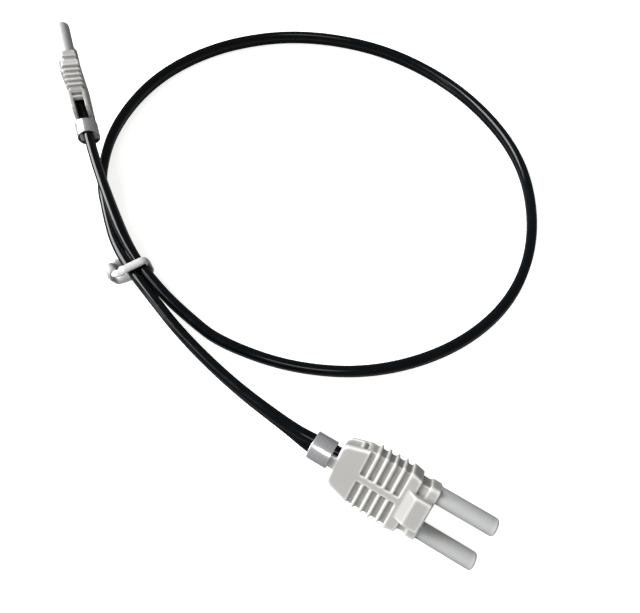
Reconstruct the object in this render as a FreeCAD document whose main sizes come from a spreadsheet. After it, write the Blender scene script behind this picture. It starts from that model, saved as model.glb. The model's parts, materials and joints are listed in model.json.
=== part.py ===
"""Duplex plastic fibre patch cord: two moulded plugs, two crimp rings, a zip cord in one loop and its tie.

Millimetres, +Z up, standing on Z = 0 as it lies on a table, origin under the middle of the whole cord.
A plug's own axes: X from its rear face to the ferrule tips, Y across the two ferrules, Z towards the key.
"""
import FreeCAD, Part
import math
import os

import Sketcher
from FreeCAD import Placement, Rotation, Vector

# Driving dimensions: alias, value, meaning
SIZES = (
    ("body_length", 14.4, "plug body, from the rear face to the front of the front plate"),
    ("body_width", 12.0, "across the grip ribs"),
    ("body_thickness", 4.2, "between the two wide faces"),
    ("rear_width", 7.0, "flat of the rear face"),
    ("shoulder_width", 8.6, "behind the tapered grip, where the rear corner ends"),
    ("shoulder_length", 0.7, "length of the rear corner"),
    ("taper_length", 6.2, "from the rear face to the full width"),
    ("front_width", 11.1, "front edge of the front plate"),
    ("front_taper", 1.8, "length over which the front plate narrows"),
    ("edge_radius", 0.4, "rounding of the body's long edges"),
    ("corner_radius", 0.3, "rounding of the body's upright corners"),
    ("groove_start", 4.75, "rear edge of the first grip groove"),
    ("groove_width", 1.05, "width of a grip groove"),
    ("groove_pitch", 1.6, "spacing of the grip grooves"),
    ("groove_count", 5, "grip grooves on each side of the spine"),
    ("groove_depth", 0.55, "depth of a grip groove in the wide faces"),
    ("groove_side_depth", 0.45, "depth of a grip groove in the narrow sides"),
    ("spine_width", 1.45, "ungrooved spine along the middle of the grip"),
    ("neck_length", 1.6, "latch groove in front of the front plate"),
    ("neck_width", 9.9, "across the latch groove"),
    ("neck_thickness", 3.2, "thickness in the latch groove"),
    ("collar_length", 1.8, "collar that carries the ferrules"),
    ("collar_width", 10.7, "across the collar"),
    ("collar_thickness", 3.7, "thickness of the collar"),
    ("collar_radius", 0.55, "rounding of the collar's long edges"),
    ("key_start", 13.0, "foot of the latch key's ramp"),
    ("key_ramp", 1.6, "length of the ramp"),
    ("key_length", 4.5, "whole length of the latch key"),
    ("key_width", 6.0, "across the latch key"),
    ("key_height", 1.05, "rise of the key above the wide face"),
    ("key_radius", 0.25, "rounding of the key's upper edges"),
    ("ferrule_diameter", 3.2, "outside of a ferrule"),
    ("ferrule_length", 10.4, "ferrule, from the collar to its tip"),
    ("ferrule_pitch", 7.62, "spacing of the two ferrules"),
    ("tip_radius", 0.45, "rounding of a ferrule's tip"),
    ("slot_length", 2.85, "open slot in each narrow side, from the rear face"),
    ("notch_start", 3.4, "rear end of the notch in front of the slot"),
    ("notch_length", 0.65, "length of that notch"),
    ("notch_height", 2.4, "height of that notch"),
    ("notch_floor", 9.5, "width of the body between the floors of the two notches"),
    ("arm_length", 5.2, "crimp arm behind the rear face"),
    ("arm_width", 2.1, "across a crimp arm"),
    ("ring_length", 4.0, "crimp ring"),
    ("ring_wall", 0.3, "wall of the crimp ring"),
    ("ring_lip", 0.08, "rounding of the ring's rims"),
    ("ring_fit", 0.07, "room between the cord's edges and the ring's bore"),
    ("near_ring_gap", 1.0, "cord seen between the near plug and its ring"),
    ("far_ring_gap", 1.4, "cord seen between the far plug and its ring"),
    ("jacket_diameter", 2.2, "outside of one fibre's jacket"),
    ("fibre_diameter", 1.0, "plastic optical fibre"),
    ("jacket_gap", 0.06, "between the two jackets of the zip cord"),
    ("clearance", 0.05, "room round a fibre in its bore and round a jacket in its channel"),
    ("split_start", 1.8, "where the two jackets part, ahead of the rear face"),
    ("split_length", 5.5, "length over which they spread to the ferrules' spacing"),
    ("split_room", 0.15, "room beside the jackets in the hollow of the body"),
    ("split_swell", 1.2, "extra room beside the bend where the jackets part"),
    ("seat_length", 3.4, "straight bore that holds a jacket's stripped end"),
    ("tail_straight", 10.0, "straight cord behind a plug's rear face"),
    ("tie_width", 2.1, "across the flat coated wire of the tie"),
    ("tie_thickness", 0.8, "through the tie"),
    ("tie_corner", 1.3, "bend radius of the tie round the two strands"),
    ("tie_twist", 0.9, "bend radius of the tie in its twist"),
    ("near_x", 11.5, "near plug's rear face"),
    ("near_y", -55.2, "near plug's rear face"),
    ("near_z", 5.8, "near plug's rear face"),
    ("near_yaw", -29.8, "degrees, heading of the near plug"),
    ("near_rise", -1.5, "degrees, rise of the near plug towards its tips"),
    ("near_roll", 40.3, "degrees, roll of the near plug about its axis"),
    ("far_x", -50.57, "far plug's rear face"),
    ("far_y", 26.22, "far plug's rear face"),
    ("far_z", 9.75, "far plug's rear face"),
    ("far_yaw", 109.1, "degrees, heading of the far plug"),
    ("far_rise", 8.6, "degrees, rise of the far plug towards its tips"),
    ("far_roll", -81.8, "degrees, roll of the far plug about its axis"),
)

# The zip cord's middle line from the near plug to the far one: x, y, z and the lean of the pair from
# upright, in degrees, towards the right of someone walking along it. The plugs give the first and last points.
NEAR_LEAN = 49.7
ROUTE = (
    (-8.6, -40.8, 3.9, 26.0),
    (-20.1, -30.0, 3.3, 12.0),
    (-29.0, -20.1, 4.0, 4.0),
    (-37.4, -10.1, 4.0, 4.0),
    (-43.1, 1.6, 2.9, 16.0),
    (-47.5, 14.8, 2.3, 26.0),
    (-47.5, 33.2, 2.2, 30.0),
    (-39.5, 52.3, 2.2, 30.0),
    (-24.9, 65.3, 2.2, 30.0),
    (-7.5, 71.3, 2.2, 30.0),
    (9.0, 71.1, 2.2, 30.0),
    (25.8, 65.7, 2.2, 28.0),
    (39.7, 56.0, 2.2, 26.0),
    (50.9, 43.0, 2.2, 25.0),
    (58.8, 26.6, 2.2, 25.0),
    (61.0, 10.8, 2.2, 22.0),
    (58.0, -7.3, 2.2, 14.0),
    (49.7, -22.3, 2.25, 4.0),
    (36.2, -32.8, 2.25, -6.0),
    (19.4, -37.9, 2.2, -14.0),
    (2.6, -36.8, 2.2, -16.0),
    (-12.4, -30.8, 2.5, -10.0),
    (-26.1, -19.7, 3.55, 0.0),
    (-34.5, -9.7, 4.3, 0.0),
    (-40.7, 2.4, 6.4, 8.0),
)
FAR_LEAN = 8.2
BEND_SHARE = 0.45

# The tie's wire about the middle of the two strands that it holds: across them, along them away from the near
# plug, and up. One end hooks over the other beside the strands, and the wire goes under, round and over both.
TIE_PLACE = (-32.2, -14.3, 4.0)
TIE_YAW = 40.0
TIE_ROUTE = (
    (-1.8, 7.6, -3.5),
    (-3.1, 5.9, -2.4),
    (-4.0, 4.4, 0.3),
    (-5.3, 3.6, 0.3),
    (-5.7, 3.4, -1.6),
    (-5.0, 3.0, -3.15),
    (-2.7, 1.9, -2.75),
    (2.78, 0.1, -2.75),
    (2.78, -0.7, 2.75),
    (-2.75, 0.0, 2.72),
    (-4.0, 2.4, -0.2),
    (-4.4, 4.0, -1.5),
)
TIE_ROUND_STRANDS = range(6, 10)


class Size:
    """A number together with the spreadsheet formula that gives it."""

    def __init__(self, value, formula):
        self.value = value
        self.formula = formula

    @staticmethod
    def of(number):
        return number if isinstance(number, Size) else Size(float(number), str(number))

    def __add__(self, other):
        other = Size.of(other)
        return Size(self.value + other.value, f"({self.formula} + {other.formula})")

    def __sub__(self, other):
        other = Size.of(other)
        return Size(self.value - other.value, f"({self.formula} - {other.formula})")

    def __mul__(self, other):
        other = Size.of(other)
        return Size(self.value * other.value, f"({self.formula} * {other.formula})")

    def __truediv__(self, other):
        other = Size.of(other)
        return Size(self.value / other.value, f"({self.formula} / {other.formula})")

    def __neg__(self):
        return Size(-self.value, f"(-1 * {self.formula})")

    def root(self):
        return Size(math.sqrt(self.value), f"sqrt({self.formula})")


class Sizes:
    """The driving dimensions, kept in a sheet of the document, each read by its alias."""

    def __init__(self, document):
        sheet = document.addObject("Spreadsheet::Sheet", "Sizes")
        for row, (alias, value, meaning) in enumerate(SIZES, start=1):
            sheet.set(f"A{row}", meaning)
            sheet.set(f"B{row}", str(value))
            sheet.setAlias(f"B{row}", alias)
        document.recompute()
        for alias, _, _ in SIZES:
            setattr(self, alias, Size(float(sheet.get(alias)), f"Sizes.{alias}"))


def origin_feature(body, role):
    return next(feature for feature in body.Origin.OriginFeatures if feature.Role == role)


def new_sketch(body, name, plane, offset=None):
    sketch = body.newObject("Sketcher::SketchObject", name)
    sketch.AttachmentSupport = [(origin_feature(body, plane), "")]
    sketch.MapMode = "FlatFace"
    if offset is not None:
        sketch.setExpression("AttachmentOffset.Base.z", offset.formula)
    return sketch


def hold_point(sketch, geometry, point, across, up):
    """Tie one point of a sketch to the sketch's axes by two driving sizes."""
    for kind, axis, size in (("DistanceX", -2, across), ("DistanceY", -1, up)):
        if abs(size.value) < 1e-9:
            sketch.addConstraint(Sketcher.Constraint("PointOnObject", geometry, point, axis))
            continue
        index = sketch.addConstraint(Sketcher.Constraint(kind, -1, 1, geometry, point, size.value))
        sketch.setExpression(f"Constraints[{index}]", size.formula)


def add_polygon(sketch, points):
    points = [(Size.of(across), Size.of(up)) for across, up in points]
    corners = [Vector(across.value, up.value, 0) for across, up in points]
    first = sketch.GeometryCount
    count = len(corners)
    for start, corner in enumerate(corners):
        sketch.addGeometry(Part.LineSegment(corner, corners[(start + 1) % count]))
    for start in range(count):
        following = first + (start + 1) % count
        sketch.addConstraint(Sketcher.Constraint("Coincident", first + start, 2, following, 1))
    for start, (across, up) in enumerate(points):
        hold_point(sketch, first + start, 1, across, up)


def add_rectangle(sketch, left, low, right, high):
    add_polygon(sketch, ((left, low), (right, low), (right, high), (left, high)))


def add_centred_rectangle(sketch, width, height):
    add_rectangle(sketch, -width / 2, -height / 2, width / 2, height / 2)


def add_circle(sketch, across, diameter):
    """A circle on the sketch's own across axis."""
    centre = Vector(across.value, 0, 0)
    geometry = sketch.addGeometry(Part.Circle(centre, Vector(0, 0, 1), diameter.value / 2))
    hold_point(sketch, geometry, 3, across, Size.of(0))
    index = sketch.addConstraint(Sketcher.Constraint("Diameter", geometry, diameter.value))
    sketch.setExpression(f"Constraints[{index}]", diameter.formula)


def extrude(body, sketch, kind, name, length, both_sides=False, backwards=False):
    feature = body.newObject(f"PartDesign::{kind}", name)
    feature.Profile = sketch
    feature.SideType = "Symmetric" if both_sides else "One side"
    feature.Reversed = backwards
    feature.setExpression("Length", length.formula)
    body.Document.recompute()
    return feature


def pad(body, sketch, name, length, both_sides=False, backwards=False):
    return extrude(body, sketch, "Pad", name, length, both_sides, backwards)


def pocket(body, sketch, name, length, both_sides=False, backwards=False):
    """Cut a sketch out of the body, and make sure that it has cut something."""
    before = body.Shape.Volume
    feature = extrude(body, sketch, "Pocket", name, length, both_sides, backwards)
    if body.Shape.Volume > before - 1e-6:
        raise RuntimeError(f"{body.Label}: {name} cuts nothing")
    return feature


def round_edges(body, name, radius, chosen):
    base = body.Tip
    names = [f"Edge{number}" for number, edge in enumerate(base.Shape.Edges, start=1) if chosen(edge)]
    if not names:
        raise RuntimeError(f"{body.Label}: {name} finds no edge")
    feature = body.newObject("PartDesign::Fillet", name)
    feature.Base = (base, names)
    feature.setExpression("Radius", radius.formula)
    body.Document.recompute()


def runs_along(edge, axis):
    """True for a straight edge parallel to one of the body's axes, 0, 1 or 2."""
    box = edge.BoundBox
    spans = (box.XLength, box.YLength, box.ZLength)
    return all(span < 1e-6 for other, span in enumerate(spans) if other != axis)


def mirrored(body, name, originals, plane):
    feature = body.newObject("PartDesign::Mirrored", name)
    feature.Originals = originals
    feature.MirrorPlane = (origin_feature(body, plane), [""])
    body.Tip = feature
    body.Document.recompute()


def plug_body(document, name, sizes):
    """The grey moulding of one plug, in its own axes."""
    body = document.addObject("PartDesign::Body", name)
    body.Label = name
    mould_grip(body, sizes)
    mould_front(body, sizes)
    mould_key(body, sizes)
    mould_arms(body, sizes)
    cut_hollow(body, sizes)
    cut_sides(body, sizes)
    return body


def mould_grip(body, sizes):
    """The flat body, tapered to the rear, with grip grooves round it on both sides of its spine."""
    outline = new_sketch(body, "outline", "XY_Plane")
    stations = (
        (Size.of(0), sizes.rear_width / 2),
        (sizes.shoulder_length, sizes.shoulder_width / 2),
        (sizes.taper_length, sizes.body_width / 2),
        (sizes.body_length - sizes.front_taper, sizes.body_width / 2),
        (sizes.body_length, sizes.front_width / 2),
    )
    far_side = [(along, half) for along, half in stations]
    near_side = [(along, -half) for along, half in reversed(stations)]
    add_polygon(outline, far_side + near_side)
    pad(body, outline, "block", sizes.body_thickness, both_sides=True)
    rear = sizes.taper_length.value + 0.01
    round_edges(body, "upright_corners", sizes.corner_radius,
                lambda edge: runs_along(edge, 2) and edge.CenterOfMass.x < rear)
    wide_face = sizes.body_thickness.value / 2
    front = sizes.body_length.value
    round_edges(body, "long_edges", sizes.edge_radius,
                lambda edge: abs(abs(edge.CenterOfMass.z) - wide_face) < 1e-6
                and edge.CenterOfMass.x < front - 1e-6)

    groove = new_sketch(body, "groove", "YZ_Plane", offset=sizes.groove_start)
    add_centred_rectangle(groove, sizes.body_width + 2, sizes.body_thickness + 2)
    core = sizes.body_width / 2 - sizes.groove_side_depth
    floor = sizes.body_thickness / 2 - sizes.groove_depth
    spine = sizes.spine_width / 2
    above = sizes.body_thickness / 2 + 0.5
    quarter = ((core, floor), (spine, floor), (spine, above))
    ring = list(quarter)
    ring += [(-across, up) for across, up in reversed(quarter)]
    ring += [(-across, -up) for across, up in quarter]
    ring += [(across, -up) for across, up in reversed(quarter)]
    add_polygon(groove, ring)
    cut = pocket(body, groove, "first_groove", sizes.groove_width, backwards=True)
    pattern = body.newObject("PartDesign::LinearPattern", "grip_grooves")
    pattern.Originals = [cut]
    pattern.Direction = (origin_feature(body, "X_Axis"), [""])
    pattern.Mode = "Spacing"
    pattern.setExpression("Offset", sizes.groove_pitch.formula)
    pattern.setExpression("Occurrences", sizes.groove_count.formula)
    body.Tip = pattern
    body.Document.recompute()


def mould_front(body, sizes):
    """The latch groove, the collar and the two ferrules."""
    neck = new_sketch(body, "neck", "YZ_Plane", offset=sizes.body_length)
    add_centred_rectangle(neck, sizes.neck_width, sizes.neck_thickness)
    pad(body, neck, "latch_groove", sizes.neck_length)

    collar_start = sizes.body_length + sizes.neck_length
    collar = new_sketch(body, "collar", "YZ_Plane", offset=collar_start)
    add_centred_rectangle(collar, sizes.collar_width, sizes.collar_thickness)
    pad(body, collar, "collar_bar", sizes.collar_length)
    half_width = sizes.collar_width.value / 2
    round_edges(body, "collar_edges", sizes.collar_radius,
                lambda edge: runs_along(edge, 0) and abs(abs(edge.CenterOfMass.y) - half_width) < 1e-6
                and edge.CenterOfMass.x > collar_start.value)

    ferrules = new_sketch(body, "ferrules", "YZ_Plane", offset=collar_start + sizes.collar_length)
    for side in (1, -1):
        add_circle(ferrules, sizes.ferrule_pitch / 2 * side, sizes.ferrule_diameter)
    pad(body, ferrules, "ferrule_pair", sizes.ferrule_length)
    tip = (collar_start + sizes.collar_length + sizes.ferrule_length).value
    round_edges(body, "ferrule_tips", sizes.tip_radius, lambda edge: abs(edge.CenterOfMass.x - tip) < 1e-6)


def mould_key(body, sizes):
    """The latch key: a ramp up from the front plate to a flat bar over the latch groove and the collar."""
    key = new_sketch(body, "key", "XZ_Plane")
    root = sizes.neck_thickness / 2 - 0.2
    face = sizes.body_thickness / 2
    top = face + sizes.key_height
    front = sizes.key_start + sizes.key_length
    add_polygon(key, ((sizes.key_start, root), (front, root), (front, top),
                      (sizes.key_start + sizes.key_ramp, top), (sizes.key_start, face)))
    pad(body, key, "latch_key", sizes.key_width, both_sides=True)
    round_edges(body, "key_edges", sizes.key_radius, lambda edge: edge.CenterOfMass.z > top.value - 1e-6)


def mould_arms(body, sizes):
    """The two crimp arms that lie over and under the cord inside the ring."""
    arms = new_sketch(body, "arms", "YZ_Plane")
    half = sizes.arm_width / 2
    inner = sizes.jacket_diameter / 2 + sizes.clearance
    reach = cord_width(sizes) / 2 + sizes.ring_fit - sizes.clearance
    outer = (reach * reach - half * half).root()
    add_rectangle(arms, -half, inner, half, outer)
    add_rectangle(arms, -half, -outer, half, -inner)
    pad(body, arms, "crimp_arms", sizes.arm_length, backwards=True)


def cut_hollow(body, sizes):
    """The flat hollow in which the two jackets part, their bores and the fibres' bores in the ferrules."""
    hollow = new_sketch(body, "hollow", "XY_Plane")
    mouth = cord_width(sizes) / 2 + sizes.split_room
    split_end = sizes.split_start + sizes.split_length
    spread = sizes.ferrule_pitch / 2 + sizes.jacket_diameter / 2 + sizes.split_room
    seat = seat_start(sizes)
    stop = jacket_end(sizes)
    wall = (
        (Size.of(0), mouth),
        (sizes.split_start, mouth + sizes.split_swell),
        (split_end, spread),
        (seat, spread),
    )
    add_polygon(hollow, list(wall) + [(along, -half) for along, half in reversed(wall)])
    height = sizes.jacket_diameter + sizes.clearance * 2
    pocket(body, hollow, "jacket_hollow", height, both_sides=True)

    jacket_bores = new_sketch(body, "jacket_bores", "YZ_Plane", offset=seat)
    fibre_bores = new_sketch(body, "fibre_bores", "YZ_Plane", offset=stop)
    for side in (1, -1):
        across = sizes.ferrule_pitch / 2 * side
        add_circle(jacket_bores, across, sizes.jacket_diameter + sizes.clearance * 2)
        add_circle(fibre_bores, across, sizes.fibre_diameter + sizes.clearance * 2)
    pocket(body, jacket_bores, "jacket_bore_pair", stop - seat + sizes.clearance, backwards=True)
    pocket(body, fibre_bores, "fibre_bore_pair", plug_length(sizes) - stop, backwards=True)


def cut_sides(body, sizes):
    """In each narrow side a slot, open to the rear, that shows the jacket, and a notch in front of it."""
    slot = new_sketch(body, "slot", "XZ_Plane", offset=cord_width(sizes) / 2)
    half_slot = sizes.jacket_diameter / 2 + sizes.clearance
    add_rectangle(slot, Size.of(0), -half_slot, sizes.slot_length, half_slot)
    slot_cut = pocket(body, slot, "side_slot", sizes.body_width / 2, backwards=True)
    mirrored(body, "side_slots", [slot_cut], "XZ_Plane")

    notch = new_sketch(body, "notch", "XZ_Plane", offset=sizes.notch_floor / 2)
    half_notch = sizes.notch_height / 2
    add_rectangle(notch, sizes.notch_start, -half_notch, sizes.notch_start + sizes.notch_length, half_notch)
    notch_cut = pocket(body, notch, "side_notch", sizes.body_width / 2, backwards=True)
    mirrored(body, "side_notches", [notch_cut], "XZ_Plane")


def cord_width(sizes):
    return sizes.jacket_diameter * 2 + sizes.jacket_gap


def plug_length(sizes):
    return sizes.body_length + sizes.neck_length + sizes.collar_length + sizes.ferrule_length


def seat_start(sizes):
    """Where the jackets run straight again after they have spread, and their bores begin."""
    rise = (sizes.ferrule_pitch - sizes.jacket_diameter - sizes.jacket_gap) / 2
    slope = (sizes.split_length * sizes.split_length + rise * rise).root()
    return sizes.split_start + sizes.split_length + slope * BEND_SHARE


def jacket_end(sizes):
    return seat_start(sizes) + sizes.seat_length


def crimp_ring(document, name, sizes):
    """A turned ring about its own X axis, from its front rim at 0 backwards."""
    body = document.addObject("PartDesign::Body", name)
    body.Label = name
    bore = cord_width(sizes) / 2 + sizes.ring_fit
    section = new_sketch(body, "ring_section", "XZ_Plane")
    add_rectangle(section, -sizes.ring_length, bore, Size.of(0), bore + sizes.ring_wall)
    turned = body.newObject("PartDesign::Revolution", "turned_ring")
    turned.Profile = section
    turned.ReferenceAxis = (origin_feature(body, "X_Axis"), [""])
    turned.Angle = 360
    document.recompute()
    round_edges(body, "rims", sizes.ring_lip, lambda edge: edge.BoundBox.XLength < 1e-6)
    return body


def plug_placement(sizes, end):
    """Where a plug lies: its rear face, heading, rise towards the tips and roll."""
    place, turn = ([getattr(sizes, f"{end}_{part}").value for part in parts]
                   for parts in (("x", "y", "z"), ("yaw", "rise", "roll")))
    yaw, rise, roll = turn
    return Placement(Vector(*place), Rotation(yaw, -rise, roll))


def cord_lines(sizes, near, far):
    """The middle lines of the two jackets between the plugs' rear faces, as two lists of points."""
    back = Vector(-sizes.tail_straight.value, 0, 0)
    middle = [near.multVec(back)] + [Vector(*point[:3]) for point in ROUTE] + [far.multVec(back)]
    leans = [NEAR_LEAN] + [point[3] for point in ROUTE] + [FAR_LEAN]
    ends = [near.Base] + middle + [far.Base]
    half = (sizes.jacket_diameter + sizes.jacket_gap).value / 2
    upper, lower = [], []
    for number, (point, lean) in enumerate(zip(middle, leans), start=1):
        heading = (ends[number + 1] - ends[number - 1]).normalize()
        right = heading.cross(Vector(0, 0, 1)).normalize()
        upright = right.cross(heading)
        tilt = math.radians(lean)
        stack = (upright * math.cos(tilt) + right * math.sin(tilt)) * half
        upper.append(point + stack)
        lower.append(point - stack)
    for line, side in ((upper, half), (lower, -half)):
        line[0] = near.multVec(back + Vector(0, side, 0))
        line[-1] = far.multVec(back + Vector(0, -side, 0))
    return upper, lower


def leg(sizes, placement, side, end):
    """A jacket's or fibre's way inside a plug, from its end back to where the pair joins."""
    spread = sizes.ferrule_pitch.value / 2 * side
    close = (sizes.jacket_diameter + sizes.jacket_gap).value / 2 * side
    split = sizes.split_start.value
    local = ((end, spread), (split + sizes.split_length.value, spread), (split, close))
    return [placement.multVec(Vector(along, across, 0)) for along, across in local]


def bend_radii(points):
    """The largest even bends: each takes a fixed share of the shorter run beside its point."""
    radii = []
    for before, point, after in zip(points, points[1:], points[2:]):
        run = min((point - before).Length, (after - point).Length)
        turn = (point - before).getAngle(after - point)
        radii.append(BEND_SHARE * run / math.tan(turn / 2))
    return radii


def bent_wire(points, radii):
    """Straight runs joined by tangent arcs."""
    edges = []
    start = points[0]
    for before, point, after, radius in zip(points, points[1:], points[2:], radii):
        arriving = (point - before).normalize()
        leaving = (after - point).normalize()
        half_turn = arriving.getAngle(leaving) / 2
        setback = radius * math.tan(half_turn)
        inward = (leaving - arriving).normalize()
        arc_start = point - arriving * setback
        arc_end = point + leaving * setback
        arc_middle = point + inward * (radius / math.cos(half_turn) - radius)
        edges.append(Part.LineSegment(start, arc_start).toShape())
        edges.append(Part.Arc(arc_start, arc_middle, arc_end).toShape())
        start = arc_end
    edges.append(Part.LineSegment(start, points[-1]).toShape())
    return Part.Wire(edges)


def tube(points, radii, diameter, bore=0.0):
    """A round tube or rod along a bent wire; its volume must be its section times its length."""
    path = bent_wire(points, radii)
    along = (points[1] - points[0]).normalize()
    circles = [Part.Wire(Part.Circle(points[0], along, size / 2).toShape()) for size in (diameter, bore) if size]
    shape = path.makePipe(Part.makeFace(circles, "Part::FaceMakerBullseye"))
    expected = math.pi / 4 * (diameter ** 2 - bore ** 2) * path.Length
    if abs(shape.Volume / expected - 1) > 0.002:
        raise RuntimeError(f"tube volume {shape.Volume:.3f} is not {expected:.3f}")
    return shape


def add_shape(document, name, shape):
    feature = document.addObject("Part::Feature", name)
    feature.Label = name
    feature.Shape = shape
    return feature


def cord_pieces(document, sizes, near, far):
    """The two jackets and the two fibres, each whole from one plug to the other."""
    pieces = []
    tip = plug_length(sizes).value
    stripped = jacket_end(sizes).value
    fibre = sizes.fibre_diameter.value
    bore = fibre + 2 * sizes.clearance.value
    for letter, side, line in zip("ab", (1, -1), cord_lines(sizes, near, far)):
        for kind, end, outside, inside in (("jacket", stripped, sizes.jacket_diameter.value, bore),
                                           ("fibre", tip, fibre, 0.0)):
            way_out = leg(sizes, near, side, end)
            way_in = leg(sizes, far, -side, end)[::-1]
            points = way_out + line + way_in
            radii = bend_radii(points)
            print(f"{kind}_{letter} arc radii:", ", ".join(f"{radius:.1f}" for radius in radii))
            print(f"{kind}_{letter} length: {bent_wire(points, radii).Length:.1f}")
            pieces.append(add_shape(document, f"{kind}_{letter}", tube(points, radii, outside, inside)))
    return pieces


def twist_tie(document, sizes):
    """The flat coated wire bent once round the two strands and twisted with itself beside them."""
    points = [Vector(*point) for point in TIE_ROUTE]
    corner = sizes.tie_corner.value
    twist = sizes.tie_twist.value
    radii = [corner if number in TIE_ROUND_STRANDS else twist for number in range(1, len(points) - 1)]
    along_strands = Vector(0, 1, 0)
    section = Part.Ellipse(Vector(), sizes.tie_width.value / 2, sizes.tie_thickness.value / 2).toShape()
    through = along_strands.cross(points[1] - points[0])
    section.Placement = Placement(points[0], Rotation(along_strands, through, Vector(), "XYZ"))
    band = Part.BRepOffsetAPI.MakePipeShell(bent_wire(points, radii))
    band.setBiNormalMode(along_strands)
    band.add(Part.Wire(section))
    band.build()
    band.makeSolid()
    tie = add_shape(document, "twist_tie", band.shape())
    tie.Placement = Placement(Vector(*TIE_PLACE), Rotation(TIE_YAW, 0, 0))
    return tie


def write_parts(document, pieces):
    document.recompute()
    for item in document.Objects:
        if {"Invalid", "Error"} & set(item.State):
            raise RuntimeError(f"{item.Label} failed: {item.State}")
    for piece in pieces:
        if piece.Shape.isNull() or not piece.Shape.isValid() or len(piece.Shape.Solids) != 1:
            raise RuntimeError(f"{piece.Label} is not one valid solid")
    os.makedirs("parts", exist_ok=True)
    for piece in pieces:
        piece.Shape.exportStep(f"parts/{piece.Label}.step")
        box = piece.Shape.BoundBox
        print(f"{piece.Label}: {piece.Shape.Volume:.2f} mm3, X {box.XMin:.2f} to {box.XMax:.2f}, "
              f"Y {box.YMin:.2f} to {box.YMax:.2f}, Z {box.ZMin:.2f} to {box.ZMax:.2f}")


def main():
    document = FreeCAD.newDocument("fibre_patch_cord")
    sizes = Sizes(document)
    pieces = []
    placements = []
    for end, gap in (("near", sizes.near_ring_gap), ("far", sizes.far_ring_gap)):
        placement = plug_placement(sizes, end)
        plug = plug_body(document, f"{end}_connector_body", sizes)
        plug.Placement = placement
        ring = crimp_ring(document, f"{end}_crimp_ring", sizes)
        ring.Placement = placement.multiply(Placement(Vector(-gap.value, 0, 0), Rotation()))
        pieces += [plug, ring]
        placements.append(placement)
    pieces += cord_pieces(document, sizes, *placements)
    pieces.append(twist_tie(document, sizes))
    write_parts(document, pieces)


main()
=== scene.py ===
"""Plastic fibre patch cord: zip cord, moulded plugs, crimp rings and tie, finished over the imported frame.

Run as a script. Metres, +Z up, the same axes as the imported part.
"""
import json
import math

import bmesh
import bpy
from bpy.props import FloatProperty, FloatVectorProperty, IntProperty, PointerProperty
from bpy.types import Operator, Panel, PropertyGroup
from mathutils import Matrix, Vector


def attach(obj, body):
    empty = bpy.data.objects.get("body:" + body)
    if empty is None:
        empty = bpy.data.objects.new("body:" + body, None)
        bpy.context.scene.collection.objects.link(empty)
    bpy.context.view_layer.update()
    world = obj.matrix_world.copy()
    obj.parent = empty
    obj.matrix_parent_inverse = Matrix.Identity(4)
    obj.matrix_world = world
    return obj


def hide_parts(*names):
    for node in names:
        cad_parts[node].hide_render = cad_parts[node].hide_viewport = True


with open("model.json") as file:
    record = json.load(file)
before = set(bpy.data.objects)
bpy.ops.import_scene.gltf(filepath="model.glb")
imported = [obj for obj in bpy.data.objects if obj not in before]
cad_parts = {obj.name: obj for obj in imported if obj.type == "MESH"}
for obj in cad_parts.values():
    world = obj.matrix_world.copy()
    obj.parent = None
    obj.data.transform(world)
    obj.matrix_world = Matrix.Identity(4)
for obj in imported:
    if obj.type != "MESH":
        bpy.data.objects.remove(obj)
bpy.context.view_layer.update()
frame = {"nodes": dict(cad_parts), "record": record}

bl_info = {
    "name": "Plastic fibre patch cord",
    "version": (1, 0, 0),
    "blender": (4, 5, 0),
    "location": "3D View > Sidebar > Patch Cord",
    "description": "Builds the cord, plugs, rings and tie of a duplex plastic fibre patch cord",
    "category": "Object",
}

MM = 0.001
UP = Vector((0.0, 0.0, 1.0))
ENDS = ("near", "far")

# Points closer together than this are made one.
WELD = 0.001 * MM

# Faces that meet at a greater angle than this have a sharp edge between them.
SHARP_EDGE = math.radians(40.0)
SHARP_TIE_EDGE = math.radians(50.0)

# Share of the way to the middle of its neighbours that a point moves in one round of smoothing.
SMOOTHING = 0.5

# Several sockets of a Mix node share a name, so those that mix colours go by number.
MIX_FACTOR, MIX_FIRST, MIX_SECOND, MIX_RESULT = 0, 6, 7, 2

# The zip cord's middle line between the plugs: x, y, z in metres and the lean of the pair of jackets from
# upright, in degrees, towards the right of someone walking along it.
ROUTE = (
    (0.0030, -0.0499, 0.0057, 2.0),
    (-0.00873, -0.04094, 0.0039, -2.0),
    (-0.02024, -0.03014, 0.0033, -1.0),
    (-0.0289, -0.0200, 0.0040, 2.0),
    (-0.03727, -0.00987, 0.0039, 2.0),
    (-0.04289, 0.00211, 0.0025, 10.0),
    (-0.0475, 0.0148, 0.0023, 26.0),
    (-0.0475, 0.0332, 0.0022, 30.0),
    (-0.0395, 0.0523, 0.0022, 30.0),
    (-0.0249, 0.0653, 0.0022, 30.0),
    (-0.0075, 0.0713, 0.0022, 30.0),
    (0.0090, 0.0711, 0.0022, 30.0),
    (0.0258, 0.0657, 0.0022, 28.0),
    (0.0397, 0.0560, 0.0022, 26.0),
    (0.0509, 0.0430, 0.0022, 25.0),
    (0.0588, 0.0266, 0.0022, 25.0),
    (0.0610, 0.0108, 0.0022, 22.0),
    (0.0580, -0.0073, 0.0022, 14.0),
    (0.0497, -0.0223, 0.00225, 4.0),
    (0.0362, -0.0328, 0.00225, -6.0),
    (0.0194, -0.0379, 0.0022, -14.0),
    (0.0026, -0.0368, 0.0022, -16.0),
    (-0.0126, -0.03114, 0.0025, -10.0),
    (-0.01955, -0.02565, 0.00295, -4.0),
    (-0.02615, -0.01976, 0.00355, 2.0),
    (-0.0345, -0.00983, 0.00445, -2.0),
    (-0.04048, 0.00207, 0.0069, 2.0),
)

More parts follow.
